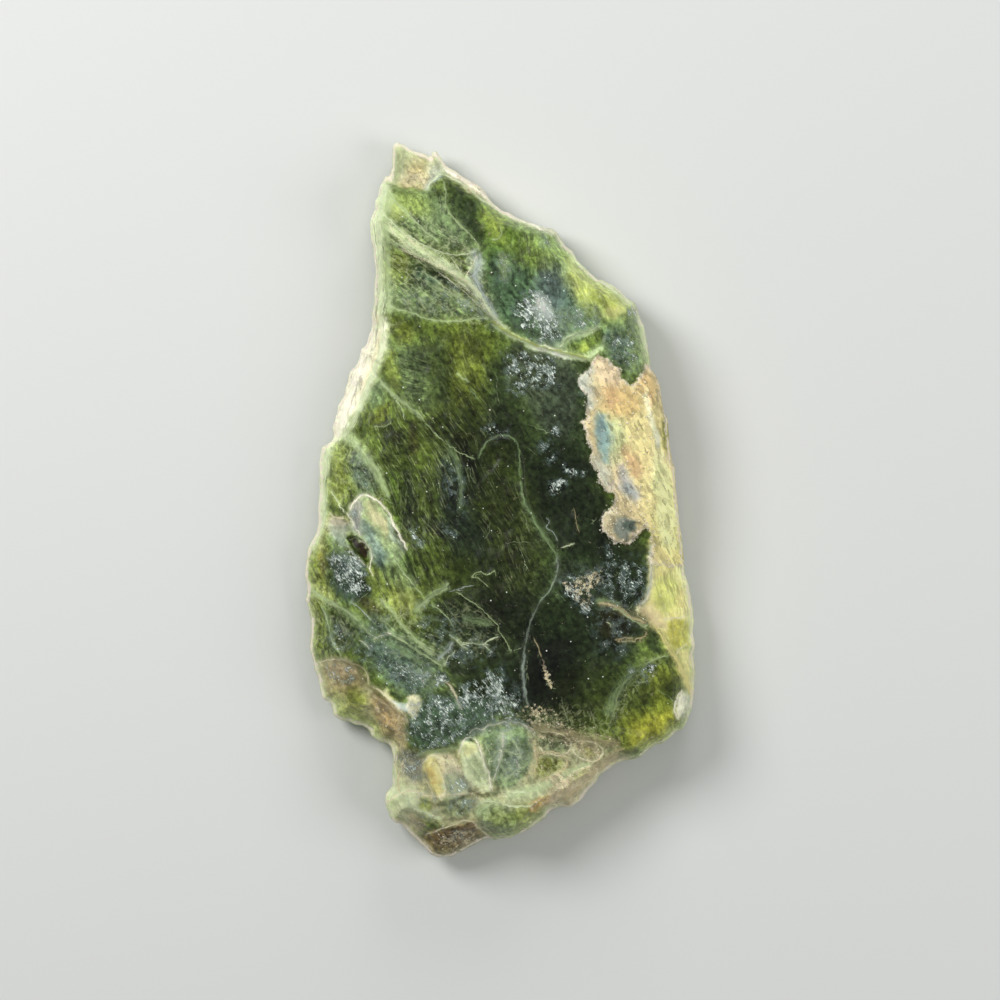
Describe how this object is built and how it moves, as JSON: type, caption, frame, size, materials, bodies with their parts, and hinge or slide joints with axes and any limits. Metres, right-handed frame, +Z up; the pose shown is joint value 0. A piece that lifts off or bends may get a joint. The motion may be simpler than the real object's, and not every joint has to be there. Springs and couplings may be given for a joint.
{
  "type": "antigorite slab",
  "caption": "Loose slab of platy green serpentine with ledges of cleavage sheets, ragged edges and a pale crust, lying on its flat back.",
  "frame": {"origin": "middle of the slab's outline, on the plane that its flat back lies on", "axes": "+Z up out of the broad face, +Y along the slab towards its narrow tip, +X across it towards the crusted shoulder"},
  "size_m": [0.039, 0.0714, 0.0083],
  "materials": {
    "serpentine": "natural stone with a waxy to greasy lustre, translucent at its thin edges, with matt weathered crust on one shoulder"
  },
  "bodies": {
    "root": {"antigorite": "serpentine"}
  },
  "joints": []
}
